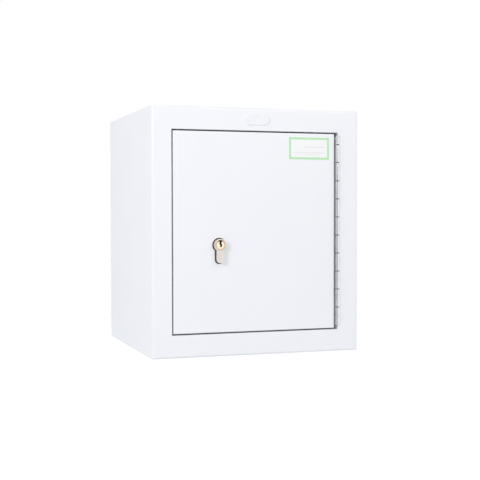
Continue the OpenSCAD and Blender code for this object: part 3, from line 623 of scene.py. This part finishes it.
class SignSettings(bpy.types.PropertyGroup):
    """Print on the small sign plate."""

    panel_colour: FloatVectorProperty(
        name="Panel colour", description="Ground of the sign", subtype="COLOR",
        default=(0.937, 0.934, 0.936), min=0, max=1,
    )
    border_colour: FloatVectorProperty(
        name="Border colour", description="Frame printed round the sign", subtype="COLOR",
        default=(0.5, 0.83, 0.47), min=0, max=1,
    )
    border_width: FloatProperty(
        name="Border width", description="Width of the printed frame", unit="LENGTH",
        default=0.0029, min=0.0005, max=0.008,
    )
    rule_colour: FloatVectorProperty(
        name="Rule colour", description="Plain lines on the sign", subtype="COLOR",
        default=(0.55, 0.56, 0.6), min=0, max=1,
    )
    rule_strength: FloatProperty(
        name="Rule strength", description="How strongly the lines are printed", subtype="FACTOR",
        default=0.28, min=0, max=1,
    )


class StudioSettings(bpy.types.PropertyGroup):
    """Lamps, floor, card and camera."""

    sky: FloatProperty(
        name="Sky level", description="Even light from all round", default=0.68, min=0, max=2
    )
    sky_colour: FloatVectorProperty(
        name="Sky colour", description="Colour of the even light", subtype="COLOR",
        default=(0.9, 0.945, 1.0), min=0, max=1,
    )
    aim: FloatVectorProperty(
        name="Lamp aim", description="Point that both lamps shine at", subtype="TRANSLATION",
        default=(0.0, -0.2, 0.0),
    )
    key_place: FloatVectorProperty(
        name="Key place", description="Place of the lamp far to the left, which grazes the front",
        subtype="TRANSLATION", default=(-1.5, -1.28, 0.63),
    )
    key_size: FloatProperty(
        name="Key size", description="Side of the square key lamp", unit="LENGTH",
        default=0.55, min=0.05, max=5,
    )
    key_power: FloatProperty(
        name="Key lamp", description="Power of the key lamp", unit="POWER",
        default=13.2, min=0, max=200,
    )
    key_colour: FloatVectorProperty(
        name="Key colour", description="Colour of the key lamp's light", subtype="COLOR",
        default=(1.0, 0.937, 0.939), min=0, max=1,
    )
    fill_place: FloatVectorProperty(
        name="Fill place", description="Place of the large lamp in front, above and to the right",
        subtype="TRANSLATION", default=(0.9, -1.9, 1.2),
    )
    fill_size: FloatProperty(
        name="Fill size", description="Side of the square fill lamp", unit="LENGTH",
        default=1.6, min=0.05, max=5,
    )
    fill_power: FloatProperty(
        name="Fill lamp", description="Power of the fill lamp", unit="POWER",
        default=12.0, min=0, max=200,
    )
    fill_colour: FloatVectorProperty(
        name="Fill colour", description="Colour of the fill lamp's light", subtype="COLOR",
        default=(1.0, 0.926, 0.833), min=0, max=1,
    )
    floor_drop: FloatProperty(
        name="Floor drop", description="How far the floor lies below the cabinet's middle",
        unit="LENGTH", default=1.2, min=0.17, max=3,
    )
    floor_colour: FloatVectorProperty(
        name="Floor colour", description="Colour of the floor", subtype="COLOR",
        default=(0.9, 0.9, 0.9), min=0, max=1,
    )
    floor_glow: FloatProperty(
        name="Floor whiteness", description="Added where the camera and shiny pieces see the floor",
        default=0.45, min=0, max=1,
    )
    card_size: FloatVectorProperty(
        name="Card size", description="Width and height of the black card", size=2,
        default=(0.56, 0.7),
    )
    card_away: FloatProperty(
        name="Card distance", description="How far the black card stands from the hinge",
        unit="LENGTH", default=1.0, min=0.3, max=5,
    )
    card_turn: FloatProperty(
        name="Card turn", description="How far left of straight ahead the hinge sees the card",
        subtype="ANGLE", default=math.radians(68),
    )
    camera_place: FloatVectorProperty(
        name="Camera place", description="Where the camera stands", subtype="TRANSLATION",
        default=(-0.4668, -1.6006, 0.0272),
    )
    yaw: FloatProperty(
        name="Yaw", description="How far the camera turns to the right from facing the wall",
        subtype="ANGLE", default=math.radians(18.445),
    )
    pitch: FloatProperty(
        name="Pitch", description="How far the camera looks up", subtype="ANGLE",
        default=math.radians(-1.569),
    )
    roll: FloatProperty(
        name="Roll", description="How far the camera tilts on its own axis", subtype="ANGLE",
        default=math.radians(-0.104),
    )
    lens: FloatProperty(
        name="Lens", description="Focal length in millimetres on a 36 mm sensor",
        default=76.19, min=20, max=300,
    )


# ---- Operators for the finishes ----


class CABINET_OT_coat_sheet(bpy.types.Operator):
    """Put the powder coat on the shell, the frame, the panels, the shelf and the door"""

    bl_idname = "cabinet.coat_sheet"
    bl_label = "Coat the Sheet Steel"

    def execute(self, context):
        dress(COATED, powder_coat(context.scene.cabinet_paint))
        return {"FINISHED"}


class CABINET_OT_finish_hinge(bpy.types.Operator):
    """Give both leaves of the piano hinge their bright drawn finish with painted shade in the gap,
    and its pin a near-black colour that paints the shade in the knuckle splits
    """

    bl_idname = "cabinet.finish_hinge"
    bl_label = "Finish the Hinge"

    def execute(self, context):
        settings = context.scene.cabinet_metal
        colour, pin_shade = Vector(settings.hinge_colour), Vector(settings.pin_shade_colour)
        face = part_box("cabinet_shell")[0].y
        # The leaves get painted shade deep in the gap beside the knuckles
        bright = metal(
            "bright_plated_strip", colour, colour * 0.94, pitch=(0.0002, 0.0002, 0.012),
            cloud_size=0.01, rough=(0.1, 0.17),
            depth_shade=shade_behind(face, start=0.0045, reach=0.002, end=0.011),
        )
        dress(HINGE_LEAVES, bright)
        # The pin is made near-black to paint the shade in the knuckle splits
        pin_shade_finish = metal(
            "pin_painted_dark", pin_shade, pin_shade * 1.6, pitch=(0.0002, 0.0002, 0.004),
            cloud_size=0.006, rough=(0.3, 0.42), edge_lift=0.1,
        )
        dress(("hinge_pin",), pin_shade_finish)
        return {"FINISHED"}


class CABINET_OT_plate_fixings(bpy.types.Operator):
    """Zinc plate the lock case, its cover and all rivets, screws and nuts"""

    bl_idname = "cabinet.plate_fixings"
    bl_label = "Plate the Fixings and Lock Case"

    def execute(self, context):
        colour = Vector(context.scene.cabinet_metal.zinc_colour)
        zinc = metal(
            "zinc_plate", colour, colour * Vector((0.97, 0.99, 1.02)),
            pitch=(0.0012, 0.0012, 0.0012), cloud_size=0.006, rough=(0.3, 0.42),
        )
        dress(PLATED, zinc)
        return {"FINISHED"}


class CABINET_OT_grind_bolts(bpy.types.Operator):
    """Give the bolts, the arbor and the clip their ground steel finish"""

    bl_idname = "cabinet.grind_bolts"
    bl_label = "Grind the Bolts, Arbor and Clip"

    def execute(self, context):
        colour = Vector(context.scene.cabinet_metal.steel_colour)
        steel = metal(
            "ground_steel", colour, colour * 0.9, pitch=(0.0003, 0.01, 0.008),
            cloud_size=0.012, rough=(0.26, 0.4),
        )
        dress(GROUND, steel)
        return {"FINISHED"}


class CABINET_OT_cut_gears(bpy.types.Operator):
    """Give the wheel, the cam gear and the pinion their machined finish"""

    bl_idname = "cabinet.cut_gears"
    bl_label = "Finish the Gears"

    def execute(self, context):
        settings = context.scene.cabinet_metal
        steel, brass = Vector(settings.steel_colour), Vector(settings.brass_colour)
        for name in ("cam_gear", "drive_wheel"):
            cut = turned_metal(
                "machined_" + name, name, steel * 1.05, steel * 0.92, rough=(0.22, 0.36)
            )
            dress((name,), cut)
        pinion = turned_metal(
            "machined_pinion", "drive_pinion", brass, brass * 0.9, rough=(0.25, 0.38)
        )
        dress(("drive_pinion",), pinion)
        return {"FINISHED"}


class CABINET_OT_finish_cylinder(bpy.types.Operator):
    """Give the lock cylinder its satin nickel and its barrel the turned brass face"""

    bl_idname = "cabinet.finish_cylinder"
    bl_label = "Finish the Lock Cylinder"

    def execute(self, context):
        settings = context.scene.cabinet_metal
        nickel, brass = Vector(settings.nickel_colour), Vector(settings.brass_colour)
        satin = metal(
            "satin_nickel", nickel, nickel * Vector((1.0, 0.97, 0.95)),
            pitch=(0.0004, 0.0004, 0.003), cloud_size=0.005, rough=(0.34, 0.46),
        )
        dress(("cylinder_body",), satin)
        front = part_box("cylinder_barrel")[0].y
        # The barrel's face gets painted shade on its rim, round the top of its keyway and deep in
        # the keyway
        face = turned_metal(
            "turned_brass", "cylinder_barrel", brass, brass * Vector((1.0, 0.94, 0.85)),
            rough=[settings.brass_roughness + change for change in BARREL_SPREAD], rim_shade=1.0,
            depth_shade=shade_behind(front, start=0.0002, reach=0.0008, end=1.0), shade_patches=BARREL_SHADE_PATCHES,
        )
        dress(("cylinder_barrel",), face)
        return {"FINISHED"}


class CABINET_OT_mould_plastics(bpy.types.Operator):
    """Finish the blanking plug, the rod guides and the rubber buffers"""

    bl_idname = "cabinet.mould_plastics"
    bl_label = "Finish Plastic and Rubber"

    def execute(self, context):
        settings = context.scene.cabinet_plastic
        plug = moulded(
            "white_moulded_plastic", settings.plug_colour, shade=0.97, cloud_size=0.012,
            grain_size=0.0004, grit=0.8, depth=0.000012, edge_radius=0.0006, breakup=0.2,
            edge_lift=0.5, edge_colour=(0.95, 0.96, 0.98), rough=(0.36, 0.5), ior=1.5,
        )
        nylon = moulded(
            "natural_nylon", settings.nylon_colour, shade=0.93, cloud_size=0.009,
            grain_size=0.0006, grit=0.5, depth=0.00002, edge_radius=0.0006, breakup=0.5,
            edge_lift=0.4, edge_colour=(0.9, 0.9, 0.86), rough=(0.38, 0.52), ior=1.53,
        )
        rubber = moulded(
            "black_rubber", settings.rubber_colour, shade=1.6, cloud_size=0.004,
            grain_size=0.0003, grit=1.0, depth=0.00003, edge_radius=0.0005, breakup=0.6,
            edge_lift=0.35, edge_colour=(0.09, 0.09, 0.09), rough=(0.6, 0.8), ior=1.5,
        )
        dress(("blanking_plug",), plug)
        dress(("rod_guides",), nylon)
        dress(("door_buffers",), rubber)
        return {"FINISHED"}


class CABINET_OT_print_sign(bpy.types.Operator):
    """Print the sign plate with its border and plain rules"""

    bl_idname = "cabinet.print_sign"
    bl_label = "Print the Sign"

    def execute(self, context):
        dress(("sign_plate",), sign_print(context.scene.cabinet_sign))
        return {"FINISHED"}


# ---- Studio ----


def add_to_scene(name, data):
    thing = bpy.data.objects.new(name, data)
    bpy.context.scene.collection.objects.link(thing)
    return thing


def flat_sheet(name, corners, material):
    mesh = bpy.data.meshes.new(name)
    mesh.from_pydata(corners, [], [(0, 1, 2, 3)])
    mesh.materials.append(material)
    return add_to_scene(name, mesh)


def soft_lamp(name, place, target, size, power, colour):
    """A square lamp that shines from place to target."""
    lamp = bpy.data.lights.new(name, "AREA")
    lamp.shape, lamp.size = "SQUARE", size
    lamp.energy, lamp.color = power, colour
    holder = add_to_scene(name, lamp)
    holder.location = place
    shines = Vector(target) - Vector(place)
    holder.rotation_euler = shines.to_track_quat("-Z", "Y").to_euler()
    return holder


def spare_hinge(lamp):
    """Lets the lamp shine past the hinge.

    The modelled hinge stands prouder of the frame than the real one seems to.
    """
    spared = bpy.data.collections.new(lamp.name + "_spares")
    for name in (*HINGE_LEAVES, "hinge_pin"):
        spared.objects.link(nodes[name])
    for entry in spared.collection_objects:
        entry.light_linking.link_state = "EXCLUDE"
    lamp.light_linking.blocker_collection = spared


def seen_directly(g):
    """1 for rays from the camera and for those that shiny or clear pieces send on."""
    path = g.add("ShaderNodeLightPath").outputs
    seen = g.math("MAXIMUM", path["Is Camera Ray"], path["Is Glossy Ray"])
    return g.math("MAXIMUM", seen, path["Is Transmission Ray"])


def lay_floor(studio):
    """A wide pale floor under the cabinet, which keeps its shadow."""
    material, g, shader = new_material("pale_floor")
    g.set(shader, Base_Color=rgba(studio.floor_colour), Roughness=MATT)
    strength = g.math("MULTIPLY", seen_directly(g), studio.floor_glow)
    glow = g.add("ShaderNodeEmission", Color=rgba(WHITE), Strength=strength)
    both = g.add("ShaderNodeAddShader")
    g.fill(both.inputs[0], shader)
    g.fill(both.inputs[1], glow)
    g.set(g.tree.nodes["Material Output"], Surface=both)
    reach, drop = FLOOR_REACH, studio.floor_drop
    sides = ((-reach, -reach), (reach, -reach), (reach, reach), (-reach, reach))
    floor = flat_sheet("studio_floor", [(x, y, -drop) for x, y in sides], material)


def stand_card(studio):
    """A black card left of the hinge.

    Only shiny pieces see it, so that round ones get a dark core.
    """
    material, g, shader = new_material("black_card")
    g.set(shader, Base_Color=(0.01, 0.01, 0.012, 1.0), Roughness=MATT)
    turn = studio.card_turn
    low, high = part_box("hinge_pin")
    away = Vector((-math.sin(turn), -math.cos(turn), 0)) * studio.card_away
    across = Vector((math.cos(turn), -math.sin(turn), 0)) * studio.card_size[0] / 2
    up = Vector((0, 0, studio.card_size[1] / 2))
    middle = (low + high) / 2 + away
    left, right = middle - across, middle + across
    card = flat_sheet("black_card", [left - up, right - up, right + up, left + up], material)
    card.visible_camera = card.visible_diffuse = card.visible_shadow = False


def light_sky(studio):
    """Even light all round; the camera and shiny pieces see it as plain white."""
    world = bpy.data.worlds.new("studio_sky")
    world.use_nodes = True
    bpy.context.scene.world = world
    g = Graph(world.node_tree)
    lit = g.tree.nodes["Background"]
    g.set(lit, Color=rgba(studio.sky_colour), Strength=studio.sky)
    white = g.add("ShaderNodeBackground", Color=rgba(WHITE), Strength=1.0)
    mix = g.add("ShaderNodeMixShader")
    for socket, value in zip(mix.inputs, (seen_directly(g), lit, white)):
        g.fill(socket, value)
    g.set(g.tree.nodes["World Output"], Surface=mix)


def place_camera(studio):
    """The camera, from its place and its three angles."""
    yaw, pitch, roll = studio.yaw, studio.pitch, studio.roll
    level = Vector((math.cos(yaw), -math.sin(yaw), 0))
    forward = Vector(
        (math.sin(yaw) * math.cos(pitch), math.cos(yaw) * math.cos(pitch), math.sin(pitch))
    )
    upright = level.cross(forward)
    right = level * math.cos(roll) + upright * math.sin(roll)
    up = upright * math.cos(roll) - level * math.sin(roll)
    data = bpy.data.cameras.new("photo_camera")
    data.lens, data.sensor_width = studio.lens, SENSOR_WIDTH
    data.clip_start, data.clip_end = CAMERA_RANGE
    camera = add_to_scene("photo_camera", data)
    turn = Matrix((right, up, -forward)).transposed().to_4x4()
    camera.matrix_world = Matrix.Translation(Vector(studio.camera_place)) @ turn
    bpy.context.scene.camera = camera


class CABINET_OT_build_studio(bpy.types.Operator):
    """Lay the floor, light the sky, stand the card, hang the lamps and place the camera"""

    bl_idname = "cabinet.build_studio"
    bl_label = "Build the Studio"

    def execute(self, context):
        studio = context.scene.cabinet_studio
        lay_floor(studio)
        light_sky(studio)
        stand_card(studio)
        key = soft_lamp(
            "key_lamp", studio.key_place, studio.aim, studio.key_size, studio.key_power,
            studio.key_colour,
        )
        fill = soft_lamp(
            "fill_lamp", studio.fill_place, studio.aim, studio.fill_size, studio.fill_power,
            studio.fill_colour,
        )
        for lamp in (key, fill):
            spare_hinge(lamp)
        context.scene.view_settings.view_transform = "Standard"
        place_camera(studio)
        return {"FINISHED"}


# ---- Panel and registration ----


class CABINET_PT_panel(bpy.types.Panel):
    """The cabinet's finishes and studio"""

    bl_idname = "CABINET_PT_panel"
    bl_label = "Lockable Cabinet"
    bl_space_type = "VIEW_3D"
    bl_region_type = "UI"
    bl_category = "Cabinet"

    def draw(self, context):
        for operator in OPERATORS:
            self.layout.operator(operator.bl_idname)
        for settings in SETTINGS:
            box = self.layout.box()
            group = getattr(context.scene, settings)
            for name in group.__annotations__:
                box.prop(group, name)


SETTINGS = {
    "cabinet_paint": PaintSettings,
    "cabinet_metal": MetalSettings,
    "cabinet_plastic": PlasticSettings,
    "cabinet_sign": SignSettings,
    "cabinet_studio": StudioSettings,
}
OPERATORS = (
    CABINET_OT_coat_sheet,
    CABINET_OT_finish_hinge,
    CABINET_OT_plate_fixings,
    CABINET_OT_grind_bolts,
    CABINET_OT_cut_gears,
    CABINET_OT_finish_cylinder,
    CABINET_OT_mould_plastics,
    CABINET_OT_print_sign,
    CABINET_OT_build_studio,
)
CLASSES = (*SETTINGS.values(), *OPERATORS, CABINET_PT_panel)


def register():
    for cls in CLASSES:
        bpy.utils.register_class(cls)
    for name, settings in SETTINGS.items():
        setattr(bpy.types.Scene, name, PointerProperty(type=settings))


def unregister():
    for name in SETTINGS:
        delattr(bpy.types.Scene, name)
    for cls in reversed(CLASSES):
        bpy.utils.unregister_class(cls)


def main():
    register()
    for operator in OPERATORS:
        group, name = operator.bl_idname.split(".")
        getattr(getattr(bpy.ops, group), name)()


if __name__ == "__main__":
    main()
